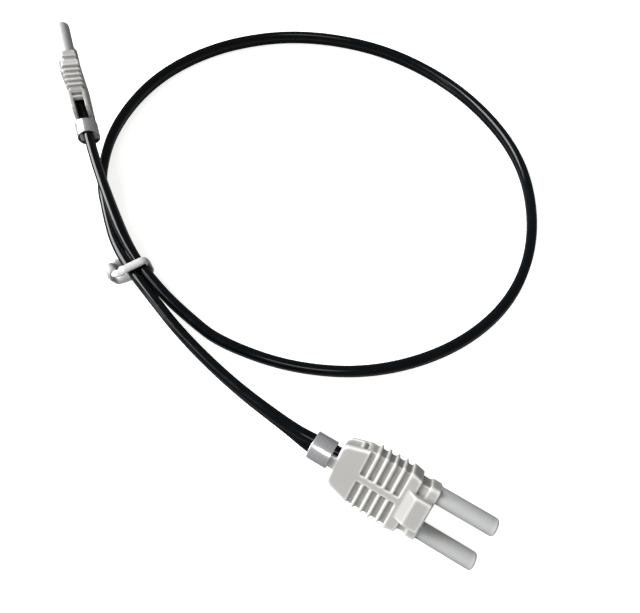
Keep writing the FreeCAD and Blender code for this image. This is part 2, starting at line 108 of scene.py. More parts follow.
# The tie's flat wire about the middle of the two strands that it holds, in metres: across them, along them
# away from the near plug, and up; then the radius of the bend there and the wire's own twist in degrees.
TIE_PLACE = Vector((-0.0322, -0.0143, 0.0040))
TIE_YAW = math.radians(40.0)
TIE_ROUTE = (
    (-0.0018, 0.0076, -0.0035, 0.0, 0.0),
    (-0.0031, 0.0059, -0.0024, 0.0009, 0.0),
    (-0.0040, 0.0044, 0.0003, 0.0009, 0.0),
    (-0.0053, 0.0036, 0.0003, 0.0009, 0.0),
    (-0.0057, 0.0034, -0.0016, 0.0009, 0.0),
    (-0.0050, 0.0030, -0.00315, 0.0009, 0.0),
    (-0.0027, 0.0019, -0.00275, 0.0013, 0.0),
    (0.00278, 0.0001, -0.00275, 0.0013, 0.0),
    (0.00278, -0.0007, 0.00275, 0.0013, 0.0),
    (-0.00275, 0.0, 0.00272, 0.0013, 0.0),
    (-0.0043, 0.0026, -0.0004, 0.0009, 70.0),
    (-0.0043, 0.0032, -0.0013, 0.0, 60.0),
)

# The soft lights: name, place and size in metres, and whether the light itself shows in reflections.
LIGHTS = (
    ("key", (-0.64, 0.24, 0.40), (0.5, 0.5), True),
    ("top", (-0.09, -0.26, 0.58), (0.22, 0.22), True),
    ("strip", (-0.50, -0.10, 0.15), (0.05, 0.6), True),
    ("fill", (-0.35, -0.60, 0.35), (0.3, 0.3), False),
)


def linear(hex_colour):
    """An sRGB hex colour as linear red, green, blue and alpha."""
    channels = [int(hex_colour[start:start + 2], 16) / 255 for start in (1, 3, 5)]
    return (*(c / 12.92 if c <= 0.04045 else ((c + 0.055) / 1.055) ** 2.4 for c in channels), 1.0)


def length_property(name, description, millimetres):
    return FloatProperty(name=name, description=description, default=millimetres * MM, min=0.0,
                         unit="LENGTH", precision=5)


def angle_property(name, description, degrees):
    return FloatProperty(name=name, description=description, default=math.radians(degrees), subtype="ANGLE")


def count_property(name, description, count, least):
    return IntProperty(name=name, description=description, default=count, min=least)


def colour_property(name, description, hex_colour):
    return FloatVectorProperty(name=name, description=description, default=linear(hex_colour), size=4,
                               min=0.0, max=1.0, subtype="COLOR")


def power_property(name, description, watts):
    return FloatProperty(name=name, description=description, default=watts, min=0.0, unit="POWER")


def strength_property(name, description, strength):
    return FloatProperty(name=name, description=description, default=strength, min=0.0)


class CordSettings(PropertyGroup):
    jacket: length_property("Jacket", "Outside of one fibre's jacket", 2.2)
    spacing: length_property("Spacing", "Between the middles of the two jackets", 2.26)
    web: length_property("Web", "Thickness of the web that joins the jackets", 0.5)
    near_tail: length_property("Near tail", "Straight run of cord behind the near plug's rear face", 5.6)
    far_tail: length_property("Far tail", "Straight run of cord behind the far plug's rear face", 10.0)
    near_twist: angle_property("Near twist", "Turn of the pair towards upright in the near ring", 22.0)
    start: length_property("Start", "Where the parted jackets start, behind the rear face", 0.2)
    split: length_property("Split", "Where the jackets part, ahead of the rear face", 1.8)
    spread: length_property("Spread", "Length over which they part", 5.5)
    seat: length_property("Seat", "Where the jackets end, ahead of the rear face", 12.0)
    slack: length_property("Slack", "How much smaller the parted jackets' radius is than the cord's", 0.005)
    steps: count_property("Steps", "Sections of the cord for each point of its route", 14, 2)
    sides: count_property("Sides", "Faces round one jacket", 28, 8)
    colour: colour_property("Colour", "Black polyethylene of the jackets", "#04090D")


class PlugSettings(PropertyGroup):
    ferrule_middle: length_property("Ferrule middle", "From the rear face to the middle of a ferrule", 22.8)
    ferrule_pitch: length_property("Ferrule pitch", "Spacing of the two ferrules", 7.62)
    collar_front: length_property("Collar front", "From the rear face to where the ferrules start", 17.8)
    tip: length_property("Tip", "From the rear face to the ferrules' tips", 28.2)
    grid: length_property("Grid", "Spacing of the grid on which the moulding's edges are softened", 0.128)
    softening: count_property("Softening", "Rounds of smoothing on the moulding's edges", 4, 0)
    levelling: count_property("Levelling", "Rounds of smoothing that level the ridges", 73, 1)
    colour: colour_property("Colour", "Light grey of the moulding", "#C5C4C1")
    # The ferrules' cooler grey is painted bluish shade.
    ferrule_shade_colour: colour_property("Ferrule colour", "Cooler grey of the polished ferrules", "#C1C4C3")


class RingSettings(PropertyGroup):
    length: length_property("Length", "Length of the crimp ring", 4.0)
    bore: length_property("Bore", "Inside radius of the ring", 2.3)
    wall: length_property("Wall", "Thickness of the ring's wall", 0.3)
    lip: length_property("Lip", "Rounding of the rims", 0.1)
    near_gap: length_property("Near gap", "Between the near plug and its ring", 1.0)
    far_gap: length_property("Far gap", "Between the far plug and its ring", 1.4)
    lip_steps: count_property("Lip steps", "Faces across the rounding of a rim", 5, 1)
    sides: count_property("Sides", "Faces round the ring", 144, 12)
    colour: colour_property("Colour", "Bright plated metal", "#F1F1F4")


class TieSettings(PropertyGroup):
    width: length_property("Width", "Across the flat coated wire", 2.1)
    thickness: length_property("Thickness", "Through the coated wire", 0.8)
    bend_steps: count_property("Bend steps", "Points in each bend of the wire", 12, 1)
    sections: count_property("Sections", "Sections along the wire", 260, 2)
    sides: count_property("Sides", "Faces round the wire", 32, 8)
    easing: count_property("Easing", "Rounds of smoothing on the wire's own twist", 12, 0)
    colour: colour_property("Colour", "White plastic coating", "#DCDDDB")


class FibreSettings(PropertyGroup):
    diameter: length_property("Diameter", "Diameter of the plastic optical fibre", 1.0)
    shown: length_property("Shown", "Length of fibre made at each ferrule's tip", 12.0)
    sides: count_property("Sides", "Faces round one fibre", 48, 8)
    colour: colour_property("Colour", "Clear acrylic", "#DFE5E4")


class StageSettings(PropertyGroup):
    floor_reach: length_property("Floor", "Radius of the flat floor", 1500.0)
    cove: length_property("Cove", "Radius of the curve up to the backdrop", 500.0)
    wall: length_property("Wall", "Height of the backdrop", 2000.0)
    cove_steps: count_property("Cove steps", "Faces up the curve", 15, 1)
    sides: count_property("Sides", "Faces round the sweep", 96, 8)
    floor_colour: colour_property("Floor colour", "Matt white sweep", "#F3F3F1")
    camera_place: FloatVectorProperty(name="Camera", description="Place of the camera", size=3,
                                      default=(0.0084, -0.0710, 0.0950), subtype="TRANSLATION")
    camera_tilt: angle_property("Camera tilt", "Turn of the camera up from straight down", 27.6)
    lens: FloatProperty(name="Lens", description="Focal length on a 36 mm sensor", default=27.0,
                        unit="CAMERA")
    key_power: power_property("Key", "Soft light from the left", 9.0)
    top_power: power_property("Top", "Small soft light overhead", 0.6)
    strip_power: power_property("Strip", "Long low light on the left", 0.25)
    fill_power: power_property("Fill", "Soft light from the front left", 0.7)
    room: strength_property("Room", "Strength of the dim room overhead", 0.16)
    table: strength_property("Table", "Strength of what the table gives back from below", 0.2)
    glow: strength_property("Glow", "Light that shows through the sweep from behind", 0.92)


class PatchCordSettings(PropertyGroup):
    cord: PointerProperty(type=CordSettings)
    plug: PointerProperty(type=PlugSettings)
    ring: PointerProperty(type=RingSettings)
    tie: PointerProperty(type=TieSettings)
    fibre: PointerProperty(type=FibreSettings)
    stage: PointerProperty(type=StageSettings)


def settings():
    return bpy.context.scene.patch_cord


def plug_axes(end):
    """A plug's axes at the middle of its rear face: X to the tips, Y to the left ferrule, Z to the key."""
    left, right = (mount for mount in frame["record"]["mounts"] if mount["name"].startswith(end))
    along = Vector(left["axis"]).normalized()
    left_middle, right_middle = (Vector(mount["pos_m"]) for mount in (left, right))
    across = (left_middle - right_middle).normalized()
    rear = (left_middle + right_middle) / 2 - along * settings().plug.ferrule_middle
    axes = Matrix((along, across, along.cross(across))).transposed().to_4x4()
    axes.translation = rear
    return axes


def new_piece(name, mesh, material):
    """A finished piece at the origin that rides on the part's one body."""
    piece = bpy.data.objects.new(name, mesh)
    bpy.context.scene.collection.objects.link(piece)
    mesh.materials.clear()
    mesh.materials.append(material)
    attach(piece, "root")
    return piece


def evaluated_mesh(piece):
    """What a piece's modifiers make of it, as a plain mesh."""
    depsgraph = bpy.context.evaluated_depsgraph_get()
    return bpy.data.meshes.new_from_object(piece.evaluated_get(depsgraph), depsgraph=depsgraph)


def modified(name, mesh, *modifiers):
    """A mesh put through modifiers, each a kind with its settings, and given back as a plain mesh."""
    helper = bpy.data.objects.new(name, mesh)
    bpy.context.scene.collection.objects.link(helper)
    for kind, values in modifiers:
        modifier = helper.modifiers.new(kind, kind)
        for key, value in values.items():
            setattr(modifier, key, value)
    result = evaluated_mesh(helper)
    bpy.data.objects.remove(helper)
    bpy.data.meshes.remove(mesh)
    return result


def smooth_line(name, controls, steps):
    """Points read from the NURBS spline of parabolas that has these control points."""
    curve = bpy.data.curves.new(name, "CURVE")
    curve.dimensions = "3D"
    curve.resolution_u = steps
    spline = curve.splines.new("NURBS")
    spline.points.add(len(controls) - 1)
    for point, place in zip(spline.points, controls):
        point.co = (*place, 1.0)
    spline.order_u = 3
    spline.use_endpoint_u = True
    line = bpy.data.objects.new(name, curve)
    bpy.context.scene.collection.objects.link(line)
    mesh = bpy.data.meshes.new_from_object(line)
    points = [vertex.co.copy() for vertex in mesh.vertices]
    bpy.data.objects.remove(line)
    bpy.data.curves.remove(curve)
    bpy.data.meshes.remove(mesh)
    return points


def swept_mesh(name, centres, stacks, outline):
    """A closed tube with one outline along a line; each section's own upright points along its stack.

    Its UV map holds the way round and the way along, in metres.
    """
    lengths = [0.0]
    for before, after in zip(centres, centres[1:]):
        lengths.append(lengths[-1] + (after - before).length)
    around = [0.0]
    for before, after in zip(outline, outline[1:] + outline[:1]):
        around.append(around[-1] + math.dist(before, after))
    shell = bmesh.new()
    rings = []
    last = len(centres) - 1
    for number, (centre, stack) in enumerate(zip(centres, stacks)):
        heading = (centres[min(number + 1, last)] - centres[max(number - 1, 0)]).normalized()
        side = heading.cross(stack).normalized()
        upright = side.cross(heading)
        rings.append([shell.verts.new(centre + side * across + upright * up) for across, up in outline])
    layer = shell.loops.layers.uv.new("along")
    count = len(outline)
    for number, (ring, following) in enumerate(zip(rings, rings[1:])):
        for start in range(count):
            corner = (start + 1) % count
            face = shell.faces.new((ring[start], following[start], following[corner], ring[corner]))
            face.smooth = True
            places = ((start, number), (start, number + 1), (start + 1, number + 1), (start + 1, number))
            for loop, (turn, step) in zip(face.loops, places):
                loop[layer].uv = (around[turn], lengths[step])
    shell.faces.new(rings[0])
    shell.faces.new(reversed(rings[-1]))
    bmesh.ops.recalc_face_normals(shell, faces=shell.faces)
    mesh = bpy.data.meshes.new(name)
    shell.to_mesh(mesh)
    shell.free()
    mesh.set_sharp_from_angle(angle=SHARP_EDGE)
    return mesh


def circle_outline(radius, sides):
    """The section of one round jacket."""
    turns = (2 * math.pi * side / sides for side in range(sides))
    return [(radius * math.cos(turn), radius * math.sin(turn)) for turn in turns]


def zip_outline(cord):
    """The section of the zip cord: two round jackets one above the other, joined by a narrow web."""
    radius = cord.jacket / 2
    web = math.asin(cord.web / cord.jacket)
    upper = []
    for step in range(cord.sides + 1):
        turn = web + (2 * math.pi - 2 * web) * step / cord.sides
        upper.append((radius * math.sin(turn), cord.spacing / 2 - radius * math.cos(turn)))
    return upper + [(-across, -up) for across, up in upper]


def cord_controls(cord):
    """Control points of the cord's middle line and, at each, the way from the lower jacket to the upper."""
    near, far = (plug_axes(end) for end in ENDS)
    middle = [near.translation, near @ Vector((-cord.near_tail, 0, 0))]
    middle += [Vector(point[:3]) for point in ROUTE]
    middle += [far @ Vector((-cord.far_tail, 0, 0)), far.translation]
    near_side, far_side = near.col[1].xyz, -far.col[1].xyz
    stacks = [near_side, Matrix.Rotation(cord.near_twist, 3, near.col[0].xyz) @ near_side]
    for before, after, (_, _, _, lean) in zip(middle[1:], middle[3:], ROUTE):
        heading = (after - before).normalized()
        right = heading.cross(UP).normalized()
        tilt = math.radians(lean)
        stacks.append(right.cross(heading) * math.cos(tilt) + right * math.sin(tilt))
    stacks += [far_side, far_side]
    return middle, stacks


def cord_lines(cord):
    """The middle lines of the cord and of its upper jacket, as points from the near plug to the far one."""
    middle, stacks = cord_controls(cord)
    upper = [point + stack * cord.spacing / 2 for point, stack in zip(middle, stacks)]
    return smooth_line("middle_line", middle, cord.steps), smooth_line("upper_line", upper, cord.steps)


def node(tree, kind, values=None, inputs=None):
    """Add a node, set its values, and set each named or numbered input or link it to a socket."""
    added = tree.nodes.new(kind)
    for key, value in (values or {}).items():
        setattr(added, key, value)
    for key, value in (inputs or {}).items():
        if isinstance(value, bpy.types.NodeSocket):
            tree.links.new(value, added.inputs[key])
        else:
            added.inputs[key].default_value = value
    return added


def new_material(name):
    """A material with an empty node tree, and that tree."""
    material = bpy.data.materials.new(name)
    material.use_nodes = True
    material.node_tree.nodes.clear()
    return material, material.node_tree


def surfaced(material, inputs):
    """Give a material its shader, with these inputs set or linked."""
    tree = material.node_tree
    shader = node(tree, "ShaderNodeBsdfPrincipled", inputs=inputs)
    node(tree, "ShaderNodeOutputMaterial", inputs={"Surface": shader.outputs["BSDF"]})
    return material


def toned(tree, colour, *layers):
    """A colour with tones over it.

    Each layer is a pattern, the values at which the tone starts and is full, its share there, and the tone.
    """
    for pattern, start, full, share, tone in layers:
        cover = node(tree, "ShaderNodeMapRange", inputs={
            "Value": pattern, "From Min": start, "From Max": full, "To Min": 0.0, "To Max": share,
        })
        mix = node(tree, "ShaderNodeMix", {"data_type": "RGBA"}, {
            MIX_FACTOR: cover.outputs[0], MIX_FIRST: colour, MIX_SECOND: tone,
        })
        colour = mix.outputs[MIX_RESULT]
    return colour


def extruded_black_polyethylene(cord):
    """Cord jacket, drawn through a die: deep black and glossy, with faint lines along its length."""
    material, tree = new_material("extruded_black_polyethylene")
    uv = node(tree, "ShaderNodeUVMap", {"uv_map": "along"})
    # Real die lines are finer. These are as coarse as it takes for them to show.
    line_width, line_length = 0.25 * MM, 40 * MM
    drawn = node(tree, "ShaderNodeMapping", inputs={
        "Vector": uv.outputs[0], "Scale": (1 / line_width, 1 / line_length, 1),
    })
    lines = node(tree, "ShaderNodeTexNoise", inputs={
        "Vector": drawn.outputs[0], "Scale": 1.0, "Detail": 3.0,
    }).outputs[0]
    place = node(tree, "ShaderNodeTexCoord").outputs["Object"]
    scuffs = node(tree, "ShaderNodeTexNoise", inputs={
        "Vector": place, "Scale": 1 / (2.5 * MM), "Detail": 4.0,
    }).outputs[0]
    rough = node(tree, "ShaderNodeMapRange", inputs={
        "Value": scuffs, "From Min": 0.3, "From Max": 0.75, "To Min": 0.1, "To Max": 0.22,
    })
    bump = node(tree, "ShaderNodeBump", inputs={"Strength": 0.12, "Distance": 0.02 * MM, "Height": lines})
    return surfaced(material, {
        "Base Color": toned(tree, cord.colour, (scuffs, 0.5, 0.75, 0.35, linear("#10151A"))),
        "IOR": 1.51, "Specular IOR Level": 0.3, "Roughness": rough.outputs[0], "Normal": bump.outputs[0],
    })


def moulded_grey_plastic(end, axes, plug):
    """Plug body, injection moulded: satin light grey, with painted highlight on its ridges and painted
    shade in its grooves.

    The ferrules are a little cooler in tone: painted bluish shade on the same plastic.
    """
    material, tree = new_material(f"moulded_grey_plastic_{end}")
    place = node(tree, "ShaderNodeTexCoord").outputs["Object"]
    own = axes.inverted()
    turned = node(tree, "ShaderNodeMapping", inputs={
        "Vector": place, "Location": own.translation, "Rotation": own.to_euler(),
    })
    along = node(tree, "ShaderNodeSeparateXYZ", inputs={0: turned.outputs[0]}).outputs[0]
    blend = 0.05 * MM
    flow = node(tree, "ShaderNodeTexNoise", inputs={
        "Vector": place, "Scale": 1 / (5 * MM), "Detail": 3.0,
    }).outputs[0]
    ridge = node(tree, "ShaderNodeAttribute", {"attribute_name": "ridge"}).outputs["Fac"]
    rough = node(tree, "ShaderNodeMapRange", inputs={
        "Value": flow, "From Min": 0.3, "From Max": 0.7, "To Min": 0.36, "To Max": 0.48,
    })
    # The mould's own grain is finer. This one is as coarse as it takes for it to show.
    grain = node(tree, "ShaderNodeTexNoise", inputs={
        "Vector": place, "Scale": 1 / (0.16 * MM), "Detail": 2.0,
    }).outputs[0]
    bump = node(tree, "ShaderNodeBump", inputs={"Strength": 0.25, "Distance": 0.008 * MM, "Height": grain})
    return surfaced(material, {
        "Base Color": toned(
            tree, plug.colour,
            # Painted shade: the ferrules, from the collar's front on, take the cooler grey.
            (along, plug.collar_front - blend, plug.collar_front + blend, 1.0, plug.ferrule_shade_colour),
            (flow, 0.45, 0.75, 0.18, linear("#ADABA6")),
            # Painted highlight: near white where the surface stands above its smoothed-out level, on ribs
            # and edges.
            (ridge, 0.015, 0.1, 1.0, linear("#F6F5F1")),
            # Painted shade: darker where the surface lies below its smoothed-out level, in grooves and
            # recesses.
            (ridge, -0.03, -0.2, 0.8, linear("#85837C")),
        ),
        "IOR": 1.53, "Roughness": rough.outputs[0], "Normal": bump.outputs[0],
    })


def turned_bright_plate(end, axes, ring):
    """Crimp ring, turned and plated: bright bands along it, broken by fine turning lines round it."""
    material, tree = new_material(f"turned_bright_plate_{end}")
    place = node(tree, "ShaderNodeTexCoord").outputs["Object"]
    own = axes.inverted()
    turned = node(tree, "ShaderNodeMapping", inputs={
        "Vector": place, "Location": own.translation, "Rotation": own.to_euler(),
    })
    # Real turning lines are finer. These are as coarse as it takes for them to show.
    line_width, line_length = 0.12 * MM, 25 * MM
    squeezed = node(tree, "ShaderNodeMapping", inputs={
        "Vector": turned.outputs[0], "Scale": (1 / line_width, 1 / line_length, 1 / line_length),
    })
    lines = node(tree, "ShaderNodeTexNoise", inputs={
        "Vector": squeezed.outputs[0], "Scale": 1.0, "Detail": 2.0,
    }).outputs[0]
    rough = node(tree, "ShaderNodeMapRange", inputs={
        "Value": lines, "From Min": 0.3, "From Max": 0.7, "To Min": 0.27, "To Max": 0.31,
    })
    bump = node(tree, "ShaderNodeBump", inputs={"Strength": 0.2, "Distance": 0.002 * MM, "Height": lines})
    return surfaced(material, {
        "Base Color": toned(tree, ring.colour, (lines, 0.4, 0.7, 0.4, linear("#C2C3C9"))),
        "Metallic": 0.72, "Roughness": rough.outputs[0], "Normal": bump.outputs[0],
    })


def vinyl_coating(tie):
    """Tie, wire coated with white vinyl: soft sheen, slightly uneven and slightly soiled by hands."""
    material, tree = new_material("vinyl_coating")
    place = node(tree, "ShaderNodeTexCoord").outputs["Object"]
    soil = node(tree, "ShaderNodeTexNoise", inputs={
        "Vector": place, "Scale": 1 / (1.6 * MM), "Detail": 4.0,
    }).outputs[0]
    skin = node(tree, "ShaderNodeTexNoise", inputs={
        "Vector": place, "Scale": 1 / (0.5 * MM), "Detail": 2.0,
    }).outputs[0]
    bump = node(tree, "ShaderNodeBump", inputs={"Strength": 0.3, "Distance": 0.03 * MM, "Height": skin})
    return surfaced(material, {
        "Base Color": toned(tree, tie.colour, (soil, 0.5, 0.8, 0.5, linear("#B9BAB6"))),
        "IOR": 1.53, "Roughness": 0.42, "Normal": bump.outputs[0],
    })


def polished_acrylic(fibre):
    """Fibre core, cut and polished at the tip: a clear glassy disc."""
    material, tree = new_material("polished_acrylic")
    place = node(tree, "ShaderNodeTexCoord").outputs["Object"]
    polish = node(tree, "ShaderNodeTexNoise", inputs={"Vector": place, "Scale": 1 / (0.2 * MM)})
    rough = node(tree, "ShaderNodeMapRange", inputs={
        "Value": polish.outputs[0], "From Min": 0.3, "From Max": 0.7, "To Min": 0.05, "To Max": 0.15,
    })
    return surfaced(material, {
        "Base Color": fibre.colour, "IOR": 1.49, "Transmission Weight": 0.3, "Roughness": rough.outputs[0],
    })


def matt_white_sweep(stage):
    """Studio floor: matt white acrylic sweep, lit from behind, with a barely uneven tone."""
    material, tree = new_material("matt_white_sweep")
    place = node(tree, "ShaderNodeTexCoord").outputs["Object"]
    tone = node(tree, "ShaderNodeTexNoise", inputs={"Vector": place, "Scale": 1 / (500 * MM)}).outputs[0]
    return surfaced(material, {
        "Base Color": toned(tree, stage.floor_colour, (tone, 0.4, 0.6, 0.2, linear("#EFEFEE"))),
        "Roughness": 0.9, "Emission Strength": stage.glow, "Emission Color": stage.floor_colour,
    })


class PATCHCORD_OT_cord(Operator):
    """Make the zip cord and the parted jackets inside the plugs"""
    bl_idname = "patch_cord.cord"
    bl_label = "Zip cord"

    def execute(self, context):
        cord = settings().cord
        centres, uppers = cord_lines(cord)
        stacks = [upper - centre for upper, centre in zip(uppers, centres)]
        black = extruded_black_polyethylene(cord)
        mesh = swept_mesh("zip_cord", centres, stacks, zip_outline(cord))
        piece = new_piece("zip_cord", mesh, black)
        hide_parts("jacket_a", "jacket_b")
        for end in ENDS:
            self.part_jackets(end, cord, black)
        return {"FINISHED"}

    def part_jackets(self, end, cord, black):
        """The two jackets inside one plug, which spread from the cord's spacing to the ferrules'."""
        axes = plug_axes(end)
        close, wide = cord.spacing / 2, settings().plug.ferrule_pitch / 2
        places = (
            (-cord.start, close), (cord.split, close), (cord.split + cord.spread, wide), (cord.seat, wide),
        )
        outline = circle_outline(cord.jacket / 2 - cord.slack, cord.sides)
        ends = bmesh.new()
        for side in (1, -1):
            controls = [axes @ Vector((along, across * side, 0)) for along, across in places]
            line = smooth_line("parted_line", controls, cord.steps)
            tube = swept_mesh("parted_jacket", line, [axes.col[2].xyz] * len(line), outline)
            ends.from_mesh(tube)
            bpy.data.meshes.remove(tube)
        mesh = bpy.data.meshes.new(f"{end}_jacket_ends")
        ends.to_mesh(mesh)
        ends.free()
        new_piece(f"{end}_jacket_ends", mesh, black)


def mark_ridges(mesh, rounds):
    """Store how far, in millimetres, each point stands above the moulding's smoothed-out surface."""
    # The plug's material paints highlight on the ridges and shade in the grooves from these heights.
    levelled = modified("levelled", mesh.copy(), ("SMOOTH", {"factor": SMOOTHING, "iterations": rounds}))
    heights = [(point.co - level.co).dot(point.normal) / MM
               for point, level in zip(mesh.vertices, levelled.vertices)]
    mesh.attributes.new("ridge", "FLOAT", "POINT").data.foreach_set("value", heights)
    bpy.data.meshes.remove(levelled)


class PATCHCORD_OT_plugs(Operator):
    """Make the two moulded plugs, with the soft edges that a mould gives"""
    bl_idname = "patch_cord.plugs"
    bl_label = "Plugs"

    def execute(self, context):
        plug = settings().plug
        for end in ENDS:
            axes = plug_axes(end)
            source = f"{end}_connector_body"
            mesh = frame["nodes"][source].data.copy()
            mesh.transform(axes.inverted())
            body = bmesh.new()
            body.from_mesh(mesh)
            bmesh.ops.remove_doubles(body, verts=body.verts, dist=WELD)
            body.to_mesh(mesh)
            body.free()
            mesh = modified(
                f"{end}_moulding", mesh,
                ("REMESH", {"mode": "VOXEL", "voxel_size": plug.grid, "use_smooth_shade": True}),
                ("SMOOTH", {"factor": SMOOTHING, "iterations": plug.softening}),
            )
            mark_ridges(mesh, plug.levelling)
            mesh.transform(axes)
            piece = new_piece(f"{end}_plug", mesh, moulded_grey_plastic(end, axes, plug))
            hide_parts(source)
        return {"FINISHED"}


class PATCHCORD_OT_rings(Operator):
    """Turn the two crimp rings"""
    bl_idname = "patch_cord.rings"
    bl_label = "Crimp rings"

    def execute(self, context):
        ring = settings().ring
        for end, gap in zip(ENDS, (ring.near_gap, ring.far_gap)):
            axes = plug_axes(end)
            mesh = self.turned_ring(f"{end}_ring", ring, gap)
            mesh.transform(axes)
            piece = new_piece(f"{end}_ring", mesh, turned_bright_plate(end, axes, ring))
            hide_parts(f"{end}_crimp_ring")
        return {"FINISHED"}

    def turned_ring(self, name, ring, gap):
        """A ring about the plug's X axis, its section turned round that axis."""
        front, rear = -gap - ring.lip, -gap - ring.length + ring.lip
        outer, inner = ring.bore + ring.wall - ring.lip, ring.bore + ring.lip
        corners = ((front, outer), (front, inner), (rear, inner), (rear, outer))
        section = []
        for quarter, (along, out) in enumerate(corners):
            for step in range(ring.lip_steps + 1):
                turn = math.radians(90 * (1 - quarter - step / ring.lip_steps))
                section.append((along + ring.lip * math.cos(turn), out + ring.lip * math.sin(turn)))
        shell = bmesh.new()
        loops = []
        for place in range(ring.sides):
            turn = 2 * math.pi * place / ring.sides
            across, up = math.cos(turn), math.sin(turn)
            loops.append([shell.verts.new((along, out * across, out * up)) for along, out in section])
        for loop, following in zip(loops, loops[1:] + loops[:1]):
            for start in range(len(section)):
                corner = (start + 1) % len(section)
                face = shell.faces.new((loop[start], loop[corner], following[corner], following[start]))
                face.smooth = True
        bmesh.ops.recalc_face_normals(shell, faces=shell.faces)
        mesh = bpy.data.meshes.new(name)
        shell.to_mesh(mesh)
        shell.free()
        return mesh


def new_tree(name, inputs):
    """An empty Geometry Nodes tree with a geometry input and output and these named inputs."""
    tree = bpy.data.node_groups.new(name, "GeometryNodeTree")
    tree.interface.new_socket("Geometry", in_out="INPUT", socket_type="NodeSocketGeometry")
    sockets = {}
    for label, kind in inputs:
        sockets[label] = tree.interface.new_socket(label, in_out="INPUT", socket_type=kind).identifier
    tree.interface.new_socket("Geometry", in_out="OUTPUT", socket_type="NodeSocketGeometry")
    return tree, sockets, node(tree, "NodeGroupInput").outputs


def grown_mesh(name, mesh, tree, values):
    """A mesh put through a Geometry Nodes tree, whose inputs are set by identifier, as a plain mesh."""
    helper = bpy.data.objects.new(name, mesh)
    bpy.context.scene.collection.objects.link(helper)
    modifier = helper.modifiers.new(name, "NODES")
    modifier.node_group = tree
    for identifier, value in values.items():
        modifier[identifier] = value
    result = evaluated_mesh(helper)
    helper.modifiers.clear()
    bpy.data.objects.remove(helper)
    bpy.data.meshes.remove(mesh)
    return result


def tie_tree(tie):
    """Geometry Nodes: a flat coated wire along a line of edges, with rounded bends.

    The wire's width lies along one way, turned by the wire's own twist.
    """
    tree, sockets, given = new_tree("coated_wire", (
        ("Width", "NodeSocketFloat"), ("Thickness", "NodeSocketFloat"), ("Along", "NodeSocketVector"),
        ("Coating", "NodeSocketMaterial"),
    ))
    bend = node(tree, "GeometryNodeInputNamedAttribute", {"data_type": "FLOAT"}, {"Name": "bend"})
    line = node(tree, "GeometryNodeMeshToCurve", inputs={0: given["Geometry"]})
    bent = node(tree, "GeometryNodeFilletCurve", {"mode": "POLY"}, {
        "Curve": line.outputs[0], "Count": tie.bend_steps, "Radius": bend.outputs[0], "Limit Radius": True,
    })
    fine = node(tree, "GeometryNodeResampleCurve", inputs={"Curve": bent.outputs[0], "Count": tie.sections})
    heading = node(tree, "GeometryNodeInputTangent")
    through = node(tree, "ShaderNodeVectorMath", {"operation": "CROSS_PRODUCT"}, {
        0: given["Along"], 1: heading.outputs[0],
    })
    facing = node(tree, "GeometryNodeSetCurveNormal", {"mode": "FREE"}, {
        "Curve": fine.outputs[0], "Normal": through.outputs[0],
    })
    twist = node(tree, "GeometryNodeInputNamedAttribute", {"data_type": "FLOAT"}, {"Name": "twist"})
    eased = node(tree, "GeometryNodeBlurAttribute", {"data_type": "FLOAT"}, {
        0: twist.outputs[0], "Iterations": tie.easing,
    })
    twisted = node(tree, "GeometryNodeSetCurveTilt", inputs={
        "Curve": facing.outputs[0], "Tilt": eased.outputs[0],
    })
    circle = node(tree, "GeometryNodeCurvePrimitiveCircle", inputs={"Resolution": tie.sides, "Radius": 0.5})
    size = node(tree, "ShaderNodeCombineXYZ", inputs={0: given["Thickness"], 1: given["Width"], 2: 1.0})
    oval = node(tree, "GeometryNodeTransform", inputs={
        "Geometry": circle.outputs[0], "Scale": size.outputs[0],
    })
    wire = node(tree, "GeometryNodeCurveToMesh", inputs={
        "Curve": twisted.outputs[0], "Profile Curve": oval.outputs[0], "Fill Caps": True,
    })
    whole = node(tree, "GeometryNodeRealizeInstances", inputs={0: wire.outputs[0]})
    coated = node(tree, "GeometryNodeSetMaterial", inputs={
        "Geometry": whole.outputs[0], "Material": given["Coating"],
    })
    node(tree, "NodeGroupOutput", inputs={0: coated.outputs[0]})
    return tree, sockets


class PATCHCORD_OT_tie(Operator):
    """Make the coated wire tie that holds the loop"""
    bl_idname = "patch_cord.tie"
    bl_label = "Tie"

    def execute(self, context):
        tie = settings().tie
        place = Matrix.Translation(TIE_PLACE) @ Matrix.Rotation(TIE_YAW, 4, "Z")
        line = bpy.data.meshes.new("tie_line")
        points = [place @ Vector((across, along, up)) for across, along, up, _, _ in TIE_ROUTE]
        line.from_pydata(points, [(start, start + 1) for start in range(len(points) - 1)], [])
        bends = line.attributes.new("bend", "FLOAT", "POINT")
        bends.data.foreach_set("value", [bend for *_, bend, _ in TIE_ROUTE])
        twists = line.attributes.new("twist", "FLOAT", "POINT")
        twists.data.foreach_set("value", [math.radians(twist) for *_, twist in TIE_ROUTE])
        tree, sockets = tie_tree(tie)
        white = vinyl_coating(tie)
        mesh = grown_mesh("tie_wire", line, tree, {
            sockets["Width"]: tie.width,
            sockets["Thickness"]: tie.thickness,
            sockets["Along"]: place.col[1].xyz,
            sockets["Coating"]: white,
        })
        mesh.polygons.foreach_set("use_smooth", [True] * len(mesh.polygons))
        mesh.set_sharp_from_angle(angle=SHARP_TIE_EDGE)
        piece = new_piece("tie", mesh, white)
        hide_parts("twist_tie")
        return {"FINISHED"}


